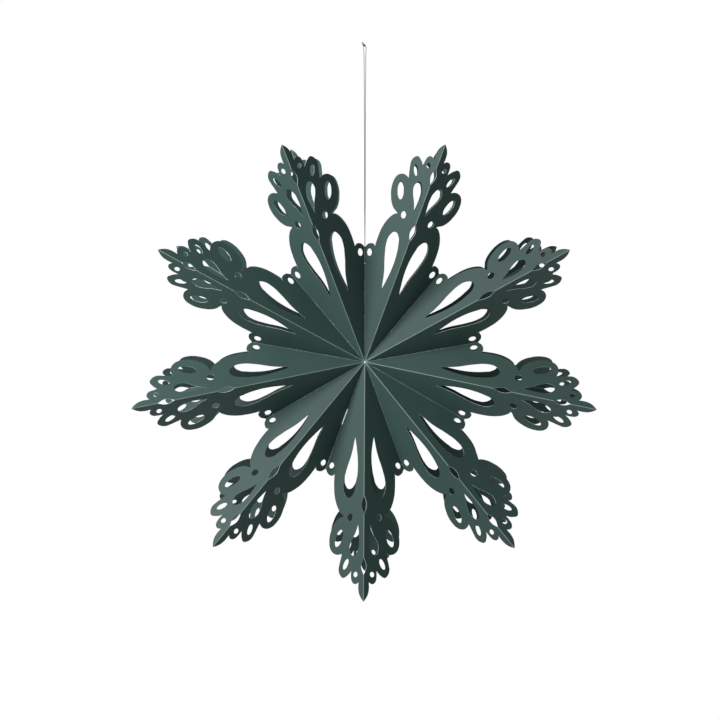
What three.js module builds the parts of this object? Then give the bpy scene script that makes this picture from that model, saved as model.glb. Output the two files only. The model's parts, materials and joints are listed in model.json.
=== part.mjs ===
// A folded paper snowflake star with nine arms, hanging from a doubled thread.
// Every fold line runs through the star's centre. Each arm is a tube of four flat wedge panels of
// card, two in front and two behind. Neighbouring arms are glued along the valley lines, and a
// removable strip closes the last valley. Lengths are in millimetres and angles in degrees.
import * as THREE from "three";

const degrees = Math.PI / 180;

// Overall sizes
const armCount = 9;
const ridgeLength = 246; // from the centre to a tip, along a fold
const valleyLength = 118; // from the centre to a notch
const ridgeLift = 18; // how far a ridge stands out of the star's middle plane
const cardThickness = 0.25;
const threadDrop = 203; // from the hang point down to the top notch

// Fold lines and clearances
const foldSetback = 2; // bare strip between a panel's edge and a fold line
const openRidgeTrim = 0.2; // extra angle trimmed off each rear panel, whose ridge is an open pivot

// Thread, glue and closing strip
const threadDiameter = 0.7;
const strandSpread = 1.3; // from the middle to each strand, near the knot
const threadBend = 1.5; // radius of the thread's turn through the top valley
const threadHoleDepth = 15; // from the notch down to the hole that the thread goes through
const threadRelief = 2.4; // bare strip beside the thread in the four top panels
const reliefRun = 1; // how far that strip goes on past the thread's turn
const knotRadius = 2.2;
const knotHeight = 5;
const knotGap = 1; // from the knot down to the ends of the thread
const glueRadius = 0.5;
const glueStart = 10; // from the centre to the inner end of a glue line
const glueEndGap = 2; // from its outer end to the notch
const eyeGlueGap = 1; // from the thread hole to the glue outside it
const stripLength = 38;
const stripRadius = 0.7;
const stripEnd = 85; // from the centre to the outer end of the closing strip

const armStep = 360 / armCount;
const halfStep = armStep / 2;
const starDrop = threadDrop + valleyLength; // from the hang point down to the centre
// The flat angle between a ridge and a valley, on the card
const panelAngle = Math.acos(Math.cos(ridgeLift * degrees) * Math.cos(halfStep * degrees));

const cardFinish = { color: 0x3d4f4a, roughness: 0.85, metalness: 0 };
const glueFinish = { color: 0x9fb0a8, roughness: 0.5, metalness: 0 };
const stripFinish = { color: 0xe8e8e2, roughness: 0.6, metalness: 0 };
const threadFinish = { color: 0x8b8b88, roughness: 0.9, metalness: 0 };

function namedMesh(name, geometry, finish) {
  const mesh = new THREE.Mesh(geometry, new THREE.MeshStandardMaterial(finish));
  mesh.name = name;
  return mesh;
}

// A direction in the middle plane, clockwise from the top as seen from the front.
function valleyDirection(angle) {
  return new THREE.Vector3(Math.sin(angle * degrees), 0, Math.cos(angle * degrees));
}

// A ridge direction: the front ridges lean towards -Y and the rear ones towards +Y.
function ridgeDirection(angle, face) {
  const lift = ridgeLift * degrees;
  const lean = new THREE.Vector3(0, face === "front" ? -1 : 1, 0);
  return valleyDirection(angle).multiplyScalar(Math.cos(lift)).addScaledVector(lean, Math.sin(lift));
}

// ---- The cut card. x runs along the ridge fold from the centre, y across towards the valley.

// Corners and crowns of the leaf-shaped lobes, from the tip to the notch. Each row is one smooth
// stretch, and neighbouring stretches meet in a sharp corner.
const cutEdges = {
  blade: [[238.4, 4.8], [225.8, 6.6]],
  smallLobe: [[227.4, 10.4], [222.5, 16.2], [213.7, 16.5]],
  middleLobe: [[219.2, 23.5], [217.9, 30.6], [210, 33.2], [195.2, 29.3]],
  largeLobe: [[196.1, 37.5], [190.3, 45.4], [178.5, 46.9], [163.8, 40.2], [157, 26.9]],
  shoulder: [[150, 34.2], [138, 39.3], [112.3, 40.3]],
};
const notchLobe = [[113.7, 44.5], [109.5, 50.8]];

// Drop-shaped openings, each from its point round its round end and back.
const smallDrop = [
  [167, 7.2], [175, 10.9], [186, 17.9], [193, 19], [198.6, 14.2], [193.6, 8], [185.7, 6.2],
];
const largeDrop = [
  [76.8, 12.2], [94, 16.8], [110, 23.8], [122, 27.6], [132.5, 27], [139, 20.9],
  [135.4, 14.1], [126, 10.5], [112, 8.6], [92, 9.2],
];

// Round and oval openings: middle, half sizes, and how far each is turned.
const eyes = {
  smallLobeEye: { at: [217.9, 10.7], half: [2.7, 2.7], turn: 0, sides: 6 },
  middleLobeEye: { at: [206.6, 23.8], half: [5.8, 2.8], turn: 29, sides: 6 },
  largeLobeEye: { at: [179.4, 33.9], half: [9.2, 4.4], turn: 26, sides: 8 },
  neckEye: { at: [159.2, 18.9], half: [3.9, 3.6], turn: 0, sides: 6 },
  notchEye: { at: [103.8, 44.5], half: [3.9, 3.4], turn: 20, sides: 6 },
};

// Half-lens cuts in the ridge fold: start, end and depth.
const ridgeCuts = [[138.5, 158, 3.3], [201.5, 219, 3.3]];
const cutSteps = 2; // straight pieces between neighbouring points of a smooth stretch

function smoothStretch(start, points) {
  const spline = new THREE.SplineCurve([start, ...points].map(([x, y]) => new THREE.Vector2(x, y)));
  return spline.getPoints(points.length * cutSteps).slice(1);
}

function dropHole(points) {
  const spline = new THREE.SplineCurve([...points, points[0]].map(([x, y]) => new THREE.Vector2(x, y)));
  return new THREE.Path(spline.getPoints(points.length).slice(0, -1));
}

function eyeHole({ at, half, turn, sides }) {
  const oval = new THREE.EllipseCurve(at[0], at[1], half[0], half[1], 0, 2 * Math.PI, false, turn * degrees);
  return new THREE.Path(oval.getPoints(sides).slice(0, -1));
}

// The point on the line at this distance from the valley fold, so far along the fold.
function besideValley(along, away) {
  return new THREE.Vector2(
    along * Math.cos(panelAngle) + away * Math.sin(panelAngle),
    along * Math.sin(panelAngle) - away * Math.cos(panelAngle),
  );
}

function panelShape({ trim = 0, besideThread = false }) {
  const slope = Math.tan(trim * degrees);
  const ridgeEdge = (x) => foldSetback + x * slope;
  const shape = new THREE.Shape();
  // Where the two bare strips meet, near the centre
  const start = foldSetback / Math.tan((panelAngle - trim * degrees) / 2);
  shape.moveTo(start, ridgeEdge(start));
  for (const [from, to, depth] of ridgeCuts) {
    shape.lineTo(from, ridgeEdge(from));
    shape.lineTo((from + to) / 2, depth);
    shape.lineTo(to, ridgeEdge(to));
  }
  let last = [ridgeLength, ridgeEdge(ridgeLength)];
  shape.lineTo(...last);
  for (const stretch of Object.values(cutEdges)) {
    smoothStretch(last, stretch).forEach((p) => shape.lineTo(p.x, p.y));
    last = stretch.at(-1);
  }
  const bare = besideThread ? threadRelief : foldSetback;
  const notch = besideValley(valleyLength, bare);
  smoothStretch(last, [...notchLobe, notch.toArray()]).forEach((p) => shape.lineTo(p.x, p.y));
  if (besideThread) {
    const relief = valleyLength - threadHoleDepth - threadBend - reliefRun;
    shape.lineTo(...besideValley(relief, threadRelief));
    shape.lineTo(...besideValley(relief, foldSetback));
  }
  shape.closePath();
  shape.holes = [dropHole(smallDrop), dropHole(largeDrop), ...Object.values(eyes).map(eyeHole)];
  return shape;
}

function panelGeometry(options) {
  const flat = new THREE.ExtrudeGeometry(panelShape(options), {
    depth: cardThickness,
    bevelEnabled: false,
    steps: 1,
  });
  return flat.translate(0, 0, -cardThickness / 2);
}

// A panel stands on its ridge fold and leans to the valley on its own side.
function placedPanel(name, armAngle, face, side, geometry) {
  const ridge = ridgeDirection(armAngle, face);
  const valley = valleyDirection(armAngle + (side === "left" ? -halfStep : halfStep));
  const across = valley.clone().addScaledVector(ridge, -valley.dot(ridge)).normalize();
  const panel = namedMesh(name, geometry, cardFinish);
  panel.quaternion.setFromRotationMatrix(
    new THREE.Matrix4().makeBasis(ridge, across, ridge.clone().cross(across)),
  );
  return panel;
}

const armAngle = (arm) => (arm - 1.5) * armStep; // arms 1 and 2 stand either side of the top valley

function makeArms() {
  const arms = new THREE.Group();
  for (let arm = 1; arm <= armCount; arm++) {
    for (const face of ["front", "back"]) {
      for (const side of ["left", "right"]) {
        const beside = (arm === 1 && side === "right") || (arm === 2 && side === "left");
        const trim = face === "back" ? openRidgeTrim : 0;
        const geometry = panelGeometry({ trim, besideThread: beside });
        arms.add(placedPanel(`arm_${arm}_${face}_${side}`, armAngle(arm), face, side, geometry));
      }
    }
  }
  return arms;
}

// ---- Glue lines and the closing strip, on the valley lines

function valleyBead(name, angle, from, to, radius, finish) {
  const bead = namedMesh(name, new THREE.CylinderGeometry(radius, radius, to - from, 8), finish);
  const along = valleyDirection(angle);
  bead.quaternion.setFromUnitVectors(new THREE.Vector3(0, 1, 0), along);
  bead.position.copy(along).multiplyScalar((from + to) / 2);
  return bead;
}

function makeValleyLines() {
  const lines = new THREE.Group();
  const outer = valleyLength - glueEndGap;
  const hole = valleyLength - threadHoleDepth;
  const room = threadBend + threadDiameter;
  for (let arm = 1; arm <= armCount; arm++) {
    const valley = armAngle(arm) + halfStep;
    const next = (arm % armCount) + 1;
    const name = `glue_line_${arm}_${next}`;
    if (arm === 1) {
      lines.add(valleyBead(name, valley, glueStart, hole - room, glueRadius, glueFinish));
      const eyeGlueStart = hole + eyeGlueGap;
      lines.add(valleyBead("thread_eye_glue", valley, eyeGlueStart, outer, glueRadius, glueFinish));
    } else if (arm === 6) {
      const stripStart = stripEnd - stripLength;
      lines.add(valleyBead("closing_strip", valley, stripStart, stripEnd, stripRadius, stripFinish));
    } else {
      lines.add(valleyBead(name, valley, glueStart, outer, glueRadius, glueFinish));
    }
  }
  return lines;
}

// ---- Thread and knot, from the hang point down

function makeThread() {
  const holeZ = -threadDrop - threadHoleDepth;
  // One closed run: down the front strand, through the top valley and up the rear strand.
  const half = [
    [strandSpread, 0, -knotGap],
    [strandSpread, 0, -40],
    [0.9, 0.3, -100],
    [0.35, 1.1, -160],
    [0, threadBend, -threadDrop + 6],
    [0, threadBend, holeZ + 2],
  ];
  const turn = [30, 60].map((a) => [
    0,
    threadBend * Math.cos(a * degrees),
    holeZ - threadBend * Math.sin(a * degrees),
  ]);
  const rear = [...half, [0, threadBend, holeZ], ...turn];
  const front = rear.map(([x, y, z]) => [-x, -y, z]).reverse();
  const route = [...rear, [0, 0, holeZ - threadBend], ...front];
  const path = new THREE.CatmullRomCurve3(route.map((p) => new THREE.Vector3(...p)));
  const section = new THREE.Shape().absarc(0, 0, threadDiameter / 2, 0, 2 * Math.PI);
  const tube = new THREE.ExtrudeGeometry(section, { steps: 60, extrudePath: path, curveSegments: 8 });
  return namedMesh("hanging_thread", tube, threadFinish);
}

function makeKnot() {
  const profile = new THREE.SplineCurve(
    [[0.01, 0], [knotRadius, 0.45 * knotHeight], [0.7 * knotRadius, 0.85 * knotHeight], [0.01, knotHeight]]
      .map(([r, z]) => new THREE.Vector2(r, z)),
  ).getPoints(8);
  profile[0].x = 0;
  profile.at(-1).x = 0;
  const knot = namedMesh("top_knot", new THREE.LatheGeometry(profile, 10), threadFinish);
  knot.rotation.x = Math.PI / 2;
  return knot;
}

const star = new THREE.Group();
star.add(makeArms(), makeValleyLines());
star.position.z = -starDrop;

const hangingStar = new THREE.Group();
hangingStar.add(star, makeThread(), makeKnot());

export default hangingStar;
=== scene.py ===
import json
import math
import bpy
from mathutils import Matrix, Vector


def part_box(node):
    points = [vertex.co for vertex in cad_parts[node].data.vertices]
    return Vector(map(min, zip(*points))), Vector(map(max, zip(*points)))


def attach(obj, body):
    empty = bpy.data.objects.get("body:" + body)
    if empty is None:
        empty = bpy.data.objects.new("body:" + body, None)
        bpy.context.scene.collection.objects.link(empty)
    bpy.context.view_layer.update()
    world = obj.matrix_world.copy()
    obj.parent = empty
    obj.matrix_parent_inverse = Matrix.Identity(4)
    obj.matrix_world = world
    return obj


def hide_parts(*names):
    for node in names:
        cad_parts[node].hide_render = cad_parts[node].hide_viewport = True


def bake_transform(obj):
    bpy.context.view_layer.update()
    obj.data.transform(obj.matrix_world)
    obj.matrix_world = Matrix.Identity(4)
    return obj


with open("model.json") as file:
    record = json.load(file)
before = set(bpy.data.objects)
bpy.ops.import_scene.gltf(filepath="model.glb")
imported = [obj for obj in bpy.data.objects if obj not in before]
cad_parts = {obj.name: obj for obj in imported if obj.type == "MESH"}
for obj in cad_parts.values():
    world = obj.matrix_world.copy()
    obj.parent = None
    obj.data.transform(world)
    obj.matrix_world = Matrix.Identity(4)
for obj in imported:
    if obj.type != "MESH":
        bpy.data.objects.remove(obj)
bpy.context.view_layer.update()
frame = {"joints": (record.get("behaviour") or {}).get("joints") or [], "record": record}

# A folded card snowflake star with nine arms on a doubled thread. Every fold runs through the middle
# of the star. Each arm has a folded pair of panels in front and two single panels behind.
mm = 0.001
behaviour = frame["record"]["behaviour"]
bodyOf = {node: body for body, nodes in behaviour["bodies"].items() for node in nodes}
jointNamed = {joint["name"]: joint for joint in frame["joints"]}
starCentre = Vector(jointNamed["fold"]["pos_m"])
armCount = 9
armStep = math.tau / armCount
seamArms = (6, 7)  # the valley between these two is an open seam
mergeGap = 0.005 * mm  # points nearer than this are one
ridgeLean = math.asin(-jointNamed["ridge_2"]["axis"][1])  # how far ridges stand out of the middle plane
# The flat angle between a ridge and a valley, and how far each panel is folded back from flat
panelAngle = math.acos(math.cos(ridgeLean) * math.cos(armStep / 2))
panelFold = math.atan2(math.sin(ridgeLean) * math.cos(armStep / 2), math.sin(armStep / 2))


def armAngle(arm):  # clockwise from the top, seen from the front
    return (arm - 1.5) * armStep


def valleyAngle(arm):  # the valley after an arm, clockwise
    return armAngle(arm) + armStep / 2


def outward(angle):  # a direction in the middle plane
    return Vector((math.sin(angle), 0, math.cos(angle)))


def armPlace(arm, face):  # from a panel's own place, ridge along X and outside up, to its arm
    radial = outward(armAngle(arm))
    facing = Vector((0, -1 if face == "front" else 1, 0))
    ridge = radial * math.cos(ridgeLean) + facing * math.sin(ridgeLean)
    up = facing * math.cos(ridgeLean) - radial * math.sin(ridgeLean)
    turn = Matrix((ridge, up.cross(ridge), up)).transposed().to_4x4()
    return Matrix.Translation(starCentre) @ turn


# Small helpers for picking, editing and copying pieces

def selectOnly(piece):
    bpy.ops.object.select_all(action="DESELECT")
    piece.select_set(True)
    bpy.context.view_layer.objects.active = piece


def editWhere(piece, wanted):  # into edit mode, with the points selected whose place is wanted
    selectOnly(piece)
    bpy.ops.object.mode_set(mode="EDIT")
    bpy.ops.mesh.select_mode(type="VERT")
    bpy.ops.mesh.select_all(action="DESELECT")
    bpy.ops.object.mode_set(mode="OBJECT")
    for point in piece.data.vertices:
        point.select = wanted(point.co)
    bpy.ops.object.mode_set(mode="EDIT")


def editAll(piece):
    editWhere(piece, lambda place: True)


def leaveEdit():
    bpy.ops.object.mode_set(mode="OBJECT")


def addAndApply(piece, kind, **settings):
    selectOnly(piece)
    modifier = piece.modifiers.new(kind.title(), kind)
    for name, value in settings.items():
        setattr(modifier, name, value)
    bpy.ops.object.modifier_apply(modifier=modifier.name)


def copyPiece(pattern, name, place=None):
    piece = pattern.copy()
    piece.data = pattern.data.copy()
    piece.name = piece.data.name = name
    bpy.context.scene.collection.objects.link(piece)
    if place is not None:
        piece.data.transform(place)
    return piece


def throwAway(*pieces):
    for piece in pieces:
        bpy.data.objects.remove(piece)


def giveMaterials(piece, *materials):
    piece.data.materials.clear()
    for material in materials:
        piece.data.materials.append(material)


# Materials

class Signal:  # a socket in a material: sums on it add Math nodes
    def __init__(self, tree, socket=None):
        self.tree = tree
        self.socket = socket

    def node(self, kind, settings=None, inputs=None, output=0):
        made = self.tree.nodes.new(kind)
        for name, value in (settings or {}).items():
            setattr(made, name, value)
        for name, value in (inputs or {}).items():
            if isinstance(value, Signal):
                self.tree.links.new(value.socket, made.inputs[name])
            else:
                made.inputs[name].default_value = value
        return Signal(self.tree, made.outputs[output]) if made.outputs else made

    def maths(self, operation, *values):
        return self.node("ShaderNodeMath", {"operation": operation}, dict(enumerate(values)))

    def other(self, name):  # another output of the same node
        return Signal(self.tree, self.socket.node.outputs[name])

    def __add__(self, value):
        return self.maths("ADD", self, value)

    def __sub__(self, value):
        return self.maths("SUBTRACT", self, value)

    def __rsub__(self, value):
        return self.maths("SUBTRACT", value, self)

    def __mul__(self, value):
        return self.maths("MULTIPLY", self, value)

    __radd__ = __add__
    __rmul__ = __mul__

    def atMost(self, value):
        return self.maths("MINIMUM", self, value)

    def atLeast(self, value):
        return self.maths("MAXIMUM", self, value)

    def fade(self, near, far):  # 1 up to near, then smoothly to 0 at far
        return self.node("ShaderNodeMapRange", {"interpolation_type": "SMOOTHSTEP"}, {
            "Value": self, "From Min": near, "From Max": far, "To Min": 1.0, "To Max": 0.0})

    def blend(self, first, second):  # this is the share of the second colour
        return self.node("ShaderNodeMix", {"data_type": "RGBA"}, {
            0: self, 6: first, 7: second}, output=2)

    def noise(self, scale, detail=2.0, roughness=0.5):
        place = self.node("ShaderNodeTexCoord").other("Object")
        return self.node("ShaderNodeTexNoise", None,
                         {"Vector": place, "Scale": scale, "Detail": detail, "Roughness": roughness})


def newFinish(name, fixed, varied):  # fixed socket values, and a function that gives the varied ones
    material = bpy.data.materials.new(name)
    material.use_nodes = True
    material.node_tree.nodes.clear()
    start = Signal(material.node_tree)
    surface = start.node("ShaderNodeBsdfPrincipled", None, {**fixed, **varied(start)})
    start.node("ShaderNodeOutputMaterial", None, {"Surface": surface})
    return material


cardLook = {
    "dark": (0.0175, 0.0465, 0.0400, 1),
    "light": (0.0245, 0.0600, 0.0520, 1),
    # light colour along the folds: worn coating and a painted highlight on the ridges, a painted
    # highlight in the valleys
    "crease": (0.160, 0.230, 0.212, 1),
    "creaseFade": (0.147 * mm, 0.42 * mm),  # mark beside a ridge, worn coating with a painted highlight: full to the first, none past the second
    # the painted highlight beside a valley, faded the same way
    "valleyHighlightFade": (0.275 * mm, 0.825 * mm),
    "valleyHighlightShare": 0.9,  # how strong the painted highlight along the valleys is beside the marks along the ridges
    "wearAndHighlight": (110.0, 3.0),  # noise scale and detail, like cloud, speckle and gloss
    "wearAndHighlightSpread": 0.9,
    "wearAndHighlightLeast": 0.45,
    "cloud": (28.0, 3.0),
    "cloudShare": 0.55,  # the rest of the mottle is speckle
    "speckle": (1700.0, 2.0),
    "gloss": (420.0, 3.0),
    "glossSpread": 0.16,  # roughness between the least and this much more
    "glossLeast": 0.54,
    "grain": (1700.0, 0.35, 0.04 * mm),  # bump scale, strength and depth
    "mapSize": 0.25,  # the card's own map is its flat place, divided by this length
}
looks = {  # the other finishes: speckle is noise scale, detail and roughness, and grain as above
    "cutEdge": {
        "dark": (0.400, 0.500, 0.470, 1), "light": (0.600, 0.710, 0.680, 1),
        "speckle": (2600.0, 3.0, 0.5), "grain": (3200.0, 0.4, 0.03 * mm)},
    "driedGlueAndHighlight": {
        # pale glue, made lighter still as a painted highlight along the shaded valleys
        "dark": (0.42, 0.53, 0.49, 1), "light": (0.64, 0.76, 0.72, 1),
        "speckle": (300.0, 2.0, 0.5), "grain": (900.0, 0.3, 0.05 * mm),
        "gloss": (500.0, 2.0), "glossSpread": 0.3, "glossLeast": 0.3},
    "whiteStrip": {
        "dark": (0.70, 0.80, 0.77, 1), "light": (0.80, 0.89, 0.86, 1),
        "speckle": (700.0, 2.0, 0.5), "grain": (2400.0, 0.3, 0.03 * mm)},
    "greyThread": {
        "dark": (0.105, 0.117, 0.113, 1), "light": (0.190, 0.207, 0.201, 1),
        "speckle": (5200.0, 4.0, 0.7), "grain": (6000.0, 0.6, 0.03 * mm)},
    "knotThreadShaded": {  # the same thread, closer packed, in a darker copy: painted shade for its overlapping turns
        "dark": (0.030, 0.030, 0.029, 1), "light": (0.085, 0.085, 0.082, 1),
        "speckle": (5200.0, 4.0, 0.7), "grain": (6000.0, 0.6, 0.03 * mm)},
    "paleFloor": {
        "dark": (0.86, 0.86, 0.86, 1), "light": (0.90, 0.90, 0.90, 1),
        "speckle": (1.5, 2.0, 0.5)},
}


def grainNormal(start, scale, strength, distance):
    return start.node("ShaderNodeBump", None, {
        "Height": start.noise(scale, 4.0, 0.65), "Strength": strength, "Distance": distance})


def unevenGloss(start, look):
    return start.noise(*look["gloss"]) * look["glossSpread"] + look["glossLeast"]


def greenCardLook(start):
    flat = start.node("ShaderNodeUVMap", {"uv_map": "flatCard"})
    place = start.node("ShaderNodeSeparateXYZ", None, {"Vector": flat})
    along, side = place.other("X") * cardLook["mapSize"], place.other("Y") * cardLook["mapSize"]
    toValley = along * math.sin(panelAngle) - side * math.cos(panelAngle)
    ridge = side.fade(*cardLook["creaseFade"])
    valley = toValley.fade(*cardLook["valleyHighlightFade"])
    # Light marks along the folds, uneven: worn coating with a painted highlight along the ridges, and a
    # painted highlight along the valleys
    wornAndLit = start.noise(*cardLook["wearAndHighlight"]) * cardLook["wearAndHighlightSpread"] + cardLook["wearAndHighlightLeast"]
    crease = (ridge.atLeast(valley * cardLook["valleyHighlightShare"]) * wornAndLit).atMost(1.0)
    cloud, speckle = start.noise(*cardLook["cloud"]), start.noise(*cardLook["speckle"])
    mottle = cloud * cardLook["cloudShare"] + speckle * (1 - cardLook["cloudShare"])
    body = mottle.blend(cardLook["dark"], cardLook["light"])
    return {
        "Base Color": crease.blend(body, cardLook["crease"]),
        "Roughness": unevenGloss(start, cardLook),
        "Normal": grainNormal(start, *cardLook["grain"]),
    }


def speckledLook(start, look):  # between the two colours of a finish, over its fine grain
    sockets = {"Base Color": start.noise(*look["speckle"]).blend(look["dark"], look["light"])}
    if "grain" in look:
        sockets["Normal"] = grainNormal(start, *look["grain"])
    if "gloss" in look:
        sockets["Roughness"] = unevenGloss(start, look)
    return sockets


def plainFinish(name, fixed):
    return newFinish(name, fixed, lambda start: speckledLook(start, looks[name]))


greenCard = newFinish("greenCard", {"Specular IOR Level": 0.5, "IOR": 1.45}, greenCardLook)
cutEdge = plainFinish("cutEdge", {"Roughness": 0.9, "Specular IOR Level": 0.2})
driedGlueAndHighlight = plainFinish("driedGlueAndHighlight", {"Specular IOR Level": 0.5})
whiteStrip = plainFinish("whiteStrip", {"Roughness": 0.7})
greyThread = plainFinish("greyThread", {"Roughness": 0.88, "Specular IOR Level": 0.2})
knotThreadShaded = plainFinish("knotThreadShaded", {"Roughness": 0.88, "Specular IOR Level": 0.2})
paleFloor = plainFinish("paleFloor", {
    "Roughness": 0.8, "Emission Color": (1, 1, 1, 1), "Emission Strength": 0.25})
print("materials done")

# Camera

view = {
    "from": Vector((34, -1900, 157.8)) * mm,  # from the middle of the star
    "at": Vector((-5, 0, 2)) * mm,
    "lens": 92.7,
    "nearest": 0.01,
}


def addCamera():
    bpy.ops.object.select_all(action="DESELECT")
    place = starCentre + view["from"]
    look = (starCentre + view["at"] - place).to_track_quat("-Z", "Y")
    bpy.ops.object.camera_add(location=place, rotation=look.to_euler())
    camera = bpy.context.object
    camera.data.lens = view["lens"]
    camera.data.clip_start = view["nearest"]
    bpy.context.scene.camera = camera


addCamera()

# Hanging thread: one length, from the knot down through the top valley and back up

thread = {
    "diameter": 0.7 * mm,
    "twist": 2.4 * mm,  # length of one turn of its three plies
    "plyDepth": 0.16,  # how deep the grooves between the plies are, as a share of the radius
    "fullness": 1.08,  # the plies stand a little outside the mean diameter
    "step": 0.3 * mm,
    "smoothness": 40,
    "route": [  # the rear strand, millimetres from the hang point
        (1.3, 0, -1), (0.95, 0, -8), (0.8, 0.1, -25), (0.6, 0.2, -45), (0.45, 0.35, -75),
        (0.4, 0.45, -100), (0.3, 1.1, -160), (0, 1.5, -197), (0, 1.5, -216), (0, 1.5, -218),
    ],
    "bend": 1.5,  # radius of its turn through the valley, millimetres
    "turns": (30, 60),  # where the turn has points, degrees
    "eyeRadius": 0.5 * mm,  # what is cut out of the card there
    "eyeDepth": 8 * mm,
}


def threadRoute():
    rear = list(thread["route"])
    bend, lowest = thread["bend"], rear[-1][2]
    for angle in thread["turns"]:
        swing = math.radians(angle)
        rear.append((0, bend * math.cos(swing), lowest - bend * math.sin(swing)))
    front = [(-x, -y, z) for x, y, z in reversed(rear)]
    return [Vector(p) * mm for p in [*rear, (0, 0, lowest - bend), *front]]


def curveLine(name, points, kind="POLY", closed=False):
    bpy.ops.object.select_all(action="DESELECT")
    bpy.ops.curve.primitive_bezier_curve_add()
    line = bpy.context.object
    line.name = name
    line.data.splines.clear()
    line.data.dimensions = "3D"
    spline = line.data.splines.new(kind)
    spots = spline.bezier_points if kind == "BEZIER" else spline.points
    spots.add(len(points) - 1)
    for spot, point in zip(spots, points):
        spot.co = point if kind == "BEZIER" else (*point, 1)
    if kind == "BEZIER":
        for spot in spots:
            spot.handle_left_type = spot.handle_right_type = "AUTO"
    spline.use_cyclic_u = closed
    return line


def evenPoints(route, step):  # a smooth line through the route, as points a step apart
    line = curveLine("smoothLine", route, "BEZIER")
    line.data.resolution_u = thread["smoothness"]
    selectOnly(line)
    bpy.ops.object.convert(target="MESH")
    found = [point.co.copy() for point in bpy.context.object.data.vertices]
    throwAway(bpy.context.object)
    even, left = [found[0]], step
    for start, end in zip(found, found[1:]):
        gap = (end - start).length
        while left <= gap:
            even.append(start.lerp(end, left / gap))
            left += step
        left -= gap
    return even


def plySection(plies=3, sides=12):  # a round section with a groove between the plies
    radius, depth = thread["fullness"] * thread["diameter"] / 2, thread["plyDepth"]
    points = []
    for side in range(sides):
        angle = math.tau * side / sides
        reach = radius * (1 - depth * (0.5 - 0.5 * math.cos(plies * angle)))
        points.append((reach * math.cos(angle), reach * math.sin(angle), 0))
    return curveLine("plySection", points, closed=True)


def twistedLine(name, points, step, section):
    line = curveLine(name, points)
    for count, spot in enumerate(line.data.splines[0].points):
        spot.tilt = math.tau * count * step / thread["twist"]
    line.data.bevel_mode = "OBJECT"
    line.data.bevel_object = section
    line.data.use_fill_caps = True
    selectOnly(line)
    bpy.ops.object.convert(target="MESH")
    made = bpy.context.object
    editAll(made)
    bpy.ops.mesh.remove_doubles(threshold=mergeGap)
    bpy.ops.mesh.select_all(action="SELECT")
    bpy.ops.mesh.normals_make_consistent(inside=False)
    bpy.ops.mesh.faces_shade_smooth()
    leaveEdit()
    return made


def makeThread():
    points = evenPoints(threadRoute(), thread["step"])
    section = plySection()
    strand = twistedLine("hangingThread", points, thread["step"], section)
    throwAway(section)
    giveMaterials(strand, greyThread)
    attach(strand, bodyOf["hanging_thread"])
    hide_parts("hanging_thread")
    return strand, points


# Top knot: the doubled thread tied on itself, with two short tails

knot = {
    "reach": 0.62 * mm,  # size of the knot's own loops
    "flatness": 0.5,
    "depth": 0.744 * mm,
    "lean": math.radians(42),
    "middle": Vector((-1.0, 0, 1.6)) * mm,
    "step": 0.12 * mm,
    "round": 96,  # steps once round its line
    "used": (9, 88),  # the stretch of them that the thread follows, open at one side
    "pointEvery": 6,
    "legs": [(1.3, 0, -1.2), (-1.3, 0, -1.2)],  # millimetres, like the tails and the two offsets
    "tails": [(-3.3, -0.3, 3.3), (-2.8, 0.35, 4.6)],
    "legShare": 0.45,  # how far up to the knot the right leg bends
    "legOffset": (0.15, 0, 0),
    "tailShare": 0.6,  # how far out the upper tail bends
    "tailOffset": (0.2, 0, 0.1),
}


def knotTurns():  # an overhand knot's line
    turns = []
    for count in range(*knot["used"]):
        angle = math.tau * count / knot["round"]
        turns.append(Vector((
            knot["reach"] * (math.sin(angle) + 2 * math.sin(2 * angle)),
            -knot["depth"] * math.sin(3 * angle),
            knot["flatness"] * knot["reach"] * (math.cos(angle) - 2 * math.cos(2 * angle)),
        )))
    lean = Matrix.Rotation(knot["lean"], 3, "Y")
    return [lean @ point + knot["middle"] for point in turns]


def makeKnot():
    section = plySection()
    turns = knotTurns()
    ends = [Vector(p) * mm for p in (*knot["legs"], *knot["tails"])]
    # The two legs go into the knot's sides, and the two tails come out of its upper left
    legBend = ends[0].lerp(turns[0], knot["legShare"]) + Vector(knot["legOffset"]) * mm
    tailBend = knot["middle"].lerp(ends[3], knot["tailShare"]) + Vector(knot["tailOffset"]) * mm
    right = [ends[0], legBend, *turns[::knot["pointEvery"]], ends[2]]
    left = [ends[1], ends[1].lerp(knot["middle"], 0.5), knot["middle"], tailBend, ends[3]]
    strands = []
    for count, route in enumerate((right, left)):
        points = evenPoints(route, knot["step"])
        strands.append(twistedLine(f"knotStrand{count}", points, knot["step"], section))
    throwAway(section)
    bpy.ops.object.select_all(action="DESELECT")
    for strand in strands:
        strand.select_set(True)
    bpy.context.view_layer.objects.active = strands[0]
    bpy.ops.object.join()
    tied = bpy.context.object
    tied.name = tied.data.name = "topKnot"
    # the thread's finish in a darker copy, painted shade in the knot's turns
    giveMaterials(tied, knotThreadShaded)
    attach(tied, bodyOf["top_knot"])
    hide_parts("top_knot")
    return tied


strand, strandPoints = makeThread()
tiedKnot = makeKnot()

# Cut card: half of an arm's front, flat, ridge along X and the valley on the +Y side

card = {
    "thickness": 0.3 * mm,
    "valleyGap": 0.2,  # bare strip beside a valley line, in millimetres like the outline below
    "valleyEnd": 118,
    "length": 246,
    "width": 52,
    "crease": (0.12, 0.38, 0.64),  # rows that the ridge fold bends along
    "rowGap": 9,
    "curl": 0.5 * mm,
    "curls": [((95, 24), 1.0, 24), ((188, 44), -1.3, 26), ((214, 30), 0.8, 18)],  # spot, share, reach
    "seamTrim": 0.6 * mm,
    "mirrorMerge": 0.02 * mm,
    "smoothUnder": math.radians(35),
    "cutSteps": 5,  # steps between two points of a cut edge
}
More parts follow.
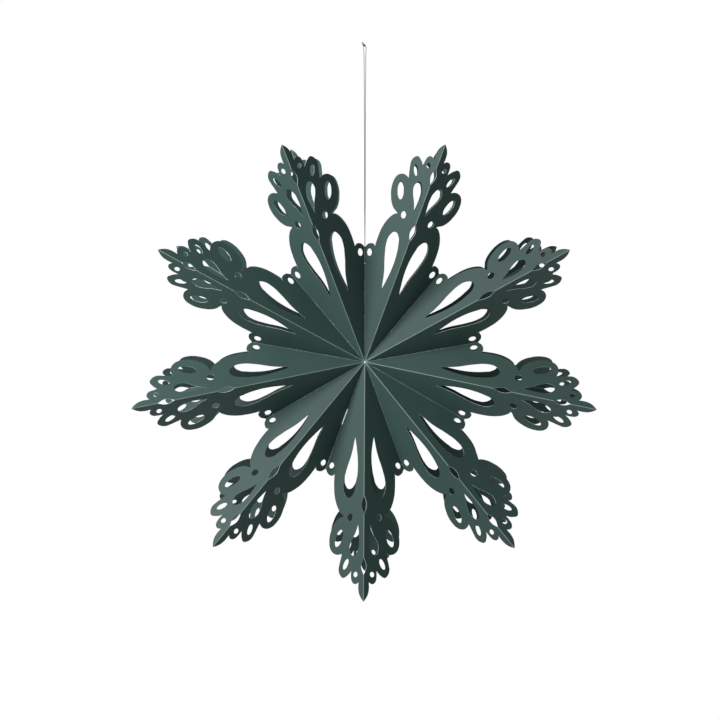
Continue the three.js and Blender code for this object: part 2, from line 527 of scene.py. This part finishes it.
# Smooth stretches of the cut edge, from the tip to the notch. They meet in sharp corners.
cutStretches = [
    [(246, 0), (239.2, 5), (233.3, 6.7)],
    [(225.8, 6.6), (227.2, 8.7), (227.3, 12.3), (224.7, 15.4), (220.2, 16.6)],
    [(213.7, 16.5), (216.4, 19), (219, 22.9), (220.2, 27.2), (217.9, 30.6), (212.3, 33.3),
     (206.7, 32.6), (200.7, 30.9)],
    [(195.2, 29.3), (196.1, 33.8), (195.4, 38.6), (192.4, 43.5), (187.8, 46.4), (182.9, 47.2),
     (175.4, 46.3), (168.5, 43.1), (162.7, 38.9), (159.2, 34), (157.9, 29.4)],
    [(157, 26.9), (154.9, 30.2), (150.8, 33.7), (144, 37.3), (135.3, 39.9), (126.2, 40.8), (119, 40.8)],
    [(112.3, 40.3), (113.8, 43.4), (112.6, 47.5), (110.1, 50.4), (107.2, 51.8)],
]
ridgeCuts = [[(138.5, 0), (148.2, 3.3)], [(158, 0)], [(201.5, 0), (210.2, 3.3)], [(219, 0)]]
drops = [  # drop-shaped openings, each from its point round its round end
    [(167.5, 7.6), (175.1, 10.9), (186, 17.9), (191.3, 19.1), (198.6, 14.2), (193.6, 8), (185.7, 6.2),
     (174.9, 6.6)],
    [(76.8, 12.2), (81, 13.3), (94.1, 16.8), (109.8, 23.8), (121.7, 27.6), (132.2, 27.1), (139.1, 20.9),
     (135.4, 14.1), (129.8, 11.9), (120.4, 9.5), (104.6, 8.4), (87.2, 10.2)],
]
eyes = [  # round and oval openings: middle, half length, half width, turn in degrees
    ((217.9, 10.7), 2.7, 2.7, 0),
    ((206.6, 23.8), 5.8, 2.8, 29),
    ((179.4, 33.9), 9.2, 4.4, 26),
    ((159.2, 18.9), 3.9, 3.6, 0),
    ((103.8, 44.5), 3.9, 3.4, 20),
]


def besideValley(along, away):
    return (along * math.cos(panelAngle) + away * math.sin(panelAngle),
            along * math.sin(panelAngle) - away * math.cos(panelAngle))


def eyeLine(middle, half, width, turn, sides=8):
    swing = math.radians(turn)
    points = []
    for side in range(sides):
        angle = math.tau * side / sides
        x, y = half * math.cos(angle), width * math.sin(angle)
        points.append((middle[0] + x * math.cos(swing) - y * math.sin(swing),
                       middle[1] + x * math.sin(swing) + y * math.cos(swing)))
    return points


def addCutLine(curve, stretches, corners=True):
    points = [(point, corners and place == 0)
              for stretch in stretches for place, point in enumerate(stretch)]
    spline = curve.splines.new("BEZIER")
    spline.bezier_points.add(len(points) - 1)
    for spot, (point, corner) in zip(spline.bezier_points, points):
        spot.co = Vector((*point, 0)) * mm
        spot.handle_left_type = spot.handle_right_type = "VECTOR" if corner else "AUTO"
    spline.use_cyclic_u = True
    spline.resolution_u = card["cutSteps"]


def flatPanel():
    sheet = curveLine("panelSheet", [(0, 0, 0), (mm, 0, 0)])
    sheet.data.splines.clear()
    sheet.data.dimensions = "2D"
    sheet.data.fill_mode = "BOTH"
    start = card["valleyGap"] / math.sin(panelAngle)
    notch = besideValley(card["valleyEnd"], card["valleyGap"])
    outline = [[(start, 0)], *ridgeCuts, *cutStretches, [notch]]
    addCutLine(sheet.data, outline)
    for drop in drops:
        addCutLine(sheet.data, [drop])
    for eye in eyes:
        addCutLine(sheet.data, [eyeLine(*eye)], corners=False)
    selectOnly(sheet)
    bpy.ops.object.convert(target="MESH")
    sheet = bpy.context.object
    editAll(sheet)
    bpy.ops.mesh.remove_doubles(threshold=mergeGap)
    # Rows along the ridge for its fold, and a net of rows so that the card can curl
    gap = card["rowGap"]
    rows = [((0, 1, 0), row) for row in (*card["crease"], *range(gap, card["width"], gap))]
    rows += [((1, 0, 0), row) for row in range(gap, card["length"], gap)]
    for across, row in rows:
        bpy.ops.mesh.select_all(action="SELECT")
        bpy.ops.mesh.bisect(plane_co=Vector(across) * row * mm, plane_no=across)
    leaveEdit()
    return sheet


def mapCard(sheet):  # the card's own map is its flat place, so marks along folds follow it
    cardMap = sheet.data.uv_layers.new(name="flatCard")
    for loop in sheet.data.loops:
        place = sheet.data.vertices[loop.vertex_index].co
        cardMap.data[loop.index].uv = (place.x / cardLook["mapSize"], place.y / cardLook["mapSize"])


def curlCard(sheet):  # the shoulder bulges a little and the large lobe's rim curls back
    for spot, rise, reach in card["curls"]:
        middle = Vector((*spot, 0)) * mm
        places = [point.co.copy() for point in sheet.data.vertices]
        nearest = min(places, key=lambda co: (co - middle).length)
        editWhere(sheet, lambda co: (co - nearest).length < mm)
        bpy.ops.transform.translate(
            value=(0, 0, rise * card["curl"]), use_proportional_edit=True,
            proportional_edit_falloff="SMOOTH", proportional_size=reach * mm)
        leaveEdit()


def foldRidge(sheet):  # outermost row first, so that the rows inside it are still flat
    rows = card["crease"]
    eachFold = panelFold / len(rows)
    for row in reversed(rows):
        editWhere(sheet, lambda co: co.y > (row + 0.01) * mm)
        bpy.ops.transform.rotate(value=eachFold, orient_axis="X", center_override=(0, row * mm, 0))
        leaveEdit()
    # The rounded crest is lower than a sharp one, so that the panels stay in their planes
    rise = sum(math.sin(eachFold * (count + 1)) * (far - near) * mm
               for count, (near, far) in enumerate(zip(rows, rows[1:])))
    editAll(sheet)
    bpy.ops.transform.translate(value=(0, 0, rise - rows[-1] * mm * math.sin(panelFold)))
    leaveEdit()


def thicken(piece):
    addAndApply(piece, "SOLIDIFY", thickness=card["thickness"], offset=0, use_rim=True,
                material_offset_rim=1)
    selectOnly(piece)
    bpy.ops.object.shade_smooth_by_angle(angle=card["smoothUnder"])


def makePanelPatterns():
    sheet = flatPanel()
    giveMaterials(sheet, greenCard, cutEdge)
    mapCard(sheet)
    curlCard(sheet)
    foldRidge(sheet)
    addAndApply(sheet, "MIRROR", use_axis=(False, True, False),
                merge_threshold=card["mirrorMerge"])
    patterns = {"pair": copyPiece(sheet, "pair")}
    for side, cutTowards in (("plusY", -1), ("minusY", 1)):
        half = copyPiece(sheet, side)
        editAll(half)
        bpy.ops.mesh.bisect(plane_co=(0, 0, 0), plane_no=(0, cutTowards, 0), clear_outer=True)
        leaveEdit()
        patterns[side] = half
    for pattern in patterns.values():
        thicken(pattern)
    patterns["sheet"] = sheet  # not thickened yet, for the two folds beside the seam
    return patterns


def trimSeam(piece, arm):  # the seam's two front folds stop a little short of the valley
    fromArm6 = outward(valleyAngle(seamArms[0]) + math.pi / 2)  # square to the seam
    towards = fromArm6 if arm == seamArms[0] else -fromArm6
    editAll(piece)
    bpy.ops.mesh.bisect(
        plane_co=starCentre - towards * card["seamTrim"], plane_no=towards, clear_outer=True)
    leaveEdit()
    thicken(piece)


def threadEye():  # what is cut out where the thread turns through the top valley
    lowest = thread["route"][-1][2] - thread["bend"]
    bpy.ops.object.select_all(action="DESELECT")
    bpy.ops.mesh.primitive_cylinder_add(
        vertices=20, radius=thread["eyeRadius"], depth=thread["eyeDepth"],
        location=(0, 0, lowest * mm), rotation=(math.pi / 2, 0, 0))
    cutter = bpy.context.object
    bpy.ops.object.transform_apply(location=True, rotation=True, scale=True)
    giveMaterials(cutter, cutEdge)
    return cutter


def makeArms():
    patterns = makePanelPatterns()
    cutter = threadEye()
    made = []
    for arm in range(1, armCount + 1):
        front = [f"arm_{arm}_front_left", f"arm_{arm}_front_right"]
        whole = patterns["sheet" if arm in seamArms else "pair"]
        fold = copyPiece(whole, f"arm{arm}FrontFold", armPlace(arm, "front"))
        made.append((fold, arm, front))
        for side, pattern in (("Right", "plusY"), ("Left", "minusY")):
            node = f"arm_{arm}_back_{side.lower()}"
            panel = copyPiece(patterns[pattern], f"arm{arm}Back{side}", armPlace(arm, "back"))
            made.append((panel, arm, [node]))
    for piece, arm, nodes in made:
        if len(nodes) == 2 and arm in seamArms:
            trimSeam(piece, arm)
        if (arm == 1 and "right" in nodes[-1]) or (arm == 2 and "left" in nodes[0]):
            addAndApply(piece, "BOOLEAN", operation="DIFFERENCE", object=cutter, solver="EXACT",
                        material_mode="TRANSFER")
        if len(nodes) == 2:
            across = armPlace(arm, "front").to_3x3() @ Vector((0, 1, 0))
            reach = across * card["crease"][-1] * mm
            starCentre + reach
            starCentre - reach
            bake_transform(piece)
        else:
            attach(piece, bodyOf[nodes[0]])
        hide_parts(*nodes)
    throwAway(cutter, *patterns.values())


makeArms()
print("arms done")

# Glue lines: thin uneven beads where neighbouring arms are stuck together

# The beads' pale colour is partly the glue's own and partly a painted highlight in the shaded valleys.
glue = {"radius": 0.34 * mm, "sides": 10, "uneven": 0.05 * mm, "cuts": 60, "seed": 5}


def glueBead(name, node, valley, seed):
    low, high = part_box(node)
    corners = [Vector((x, y, z)) - starCentre for x in (low.x, high.x) for y in (low.y, high.y)
               for z in (low.z, high.z)]
    along = outward(valley)
    middle = sum(corner.dot(along) for corner in corners) / len(corners)
    length = (high - low).length
    bpy.ops.object.select_all(action="DESELECT")
    bpy.ops.mesh.primitive_cylinder_add(
        vertices=glue["sides"], radius=glue["radius"], depth=length,
        location=starCentre + along * middle, rotation=along.to_track_quat("Z", "Y").to_euler())
    bead = bpy.context.object
    bead.name = bead.data.name = name
    bpy.ops.object.transform_apply(location=True, rotation=True, scale=True)
    editAll(bead)
    for cut in range(1, glue["cuts"]):
        bpy.ops.mesh.select_all(action="SELECT")
        place = starCentre + along * (middle - length / 2 + length * cut / glue["cuts"])
        bpy.ops.mesh.bisect(plane_co=place, plane_no=along)
    bpy.ops.mesh.select_all(action="SELECT")
    bpy.ops.transform.vertex_random(offset=glue["uneven"], uniform=1, normal=0, seed=seed)
    bpy.ops.mesh.faces_shade_smooth()
    leaveEdit()
    giveMaterials(bead, driedGlueAndHighlight)
    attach(bead, bodyOf[node])
    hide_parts(node)


def makeGlue():
    for arm in range(1, armCount + 1):
        beside = arm % armCount + 1
        beads = {f"glueLine{arm}To{beside}": f"glue_line_{arm}_{beside}"}
        if arm == 1:  # the thread passes through this valley
            beads["threadEyeGlue"] = "thread_eye_glue"
        if arm == seamArms[0]:  # the closing strip is here instead
            continue
        for name, node in beads.items():
            glueBead(name, node, valleyAngle(arm), glue["seed"] + arm)


makeGlue()
print("glue done")

# Closing strip: white paper in the open seam, standing edge on behind the gap

strip = {
    "thickness": 1.05 * mm,
    "profile": [  # distance along the valley, and reach towards the front, in millimetres
        (47, -0.6), (51, -0.55), (52.5, 1.5), (68, 1.5), (69.5, -0.55), (85, -0.6),
    ],
    "back": -1.1,
    "bevel": 0.06 * mm,
}


def makeStrip():
    along = outward(valleyAngle(seamArms[0]))
    front = strip["profile"]
    places = [*front, (front[-1][0], strip["back"]), (front[0][0], strip["back"])]
    bpy.ops.object.select_all(action="DESELECT")
    bpy.ops.mesh.primitive_plane_add(size=mm)
    paper = bpy.context.object
    paper.name = paper.data.name = "closingStrip"
    points = [starCentre + (along * x + Vector((0, -y, 0))) * mm for x, y in places]
    paper.data.clear_geometry()
    paper.data.from_pydata(points, [], [list(range(len(points)))])
    addAndApply(paper, "SOLIDIFY", thickness=strip["thickness"], offset=0)
    addAndApply(paper, "BEVEL", width=strip["bevel"], segments=2)
    giveMaterials(paper, whiteStrip)
    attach(paper, bodyOf["closing_strip"])
    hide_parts("closing_strip")


makeStrip()
print("strip done")

# Floor, light and surroundings

studio = {
    "floorDrop": 1.2,  # below the middle of the star
    "floorRadius": 1.2,
    "floorSides": 96,
    "lights": {  # place from the middle of the star, disc size, watts, colour
        "softKey": (Vector((-0.56, -0.55, 0.36)), 0.6, 13.2, (1, 0.94, 0.955)),
        "weakFill": (Vector((1.70, -1.38, -0.98)), 1.2, 4, (0.8, 1, 0.98)),
        "backLight": (Vector((1.1, 1.9, 0.8)), 1.2, 35, (1, 0.98, 0.98)),
    },
    "surround": 0.23,
}


def makeFloor():
    bpy.ops.object.select_all(action="DESELECT")
    bpy.ops.mesh.primitive_circle_add(
        vertices=studio["floorSides"], radius=studio["floorRadius"], fill_type="NGON",
        location=starCentre - Vector((0, 0, studio["floorDrop"])))
    floor = bpy.context.object
    floor.name = "paleFloor"
    bpy.ops.object.transform_apply(location=True, rotation=True, scale=True)
    giveMaterials(floor, paleFloor)


def makeStudio():
    for name, (away, size, power, colour) in studio["lights"].items():
        bpy.ops.object.select_all(action="DESELECT")
        bpy.ops.object.light_add(type="AREA", location=starCentre + away,
                                 rotation=(-away).to_track_quat("-Z", "Y").to_euler())
        lamp = bpy.context.object
        lamp.name = name
        lamp.visible_camera = False
        lamp.data.shape = "DISK"
        lamp.data.size, lamp.data.energy, lamp.data.color = size, power, colour
    world = bpy.data.worlds.new("whiteRoom")
    world.use_nodes = True
    world.node_tree.nodes.clear()
    start = Signal(world.node_tree)  # a white wall to look at, and softer light from all round
    seen = start.node("ShaderNodeLightPath")
    strength = seen * (1 - studio["surround"]) + studio["surround"]
    wall = start.node("ShaderNodeBackground", None, {"Color": (1, 1, 1, 1), "Strength": strength})
    start.node("ShaderNodeOutputWorld", None, {"Surface": wall})
    bpy.context.scene.world = world
    bpy.context.scene.view_settings.view_transform = "Standard"


makeFloor()
makeStudio()
print("studio done")
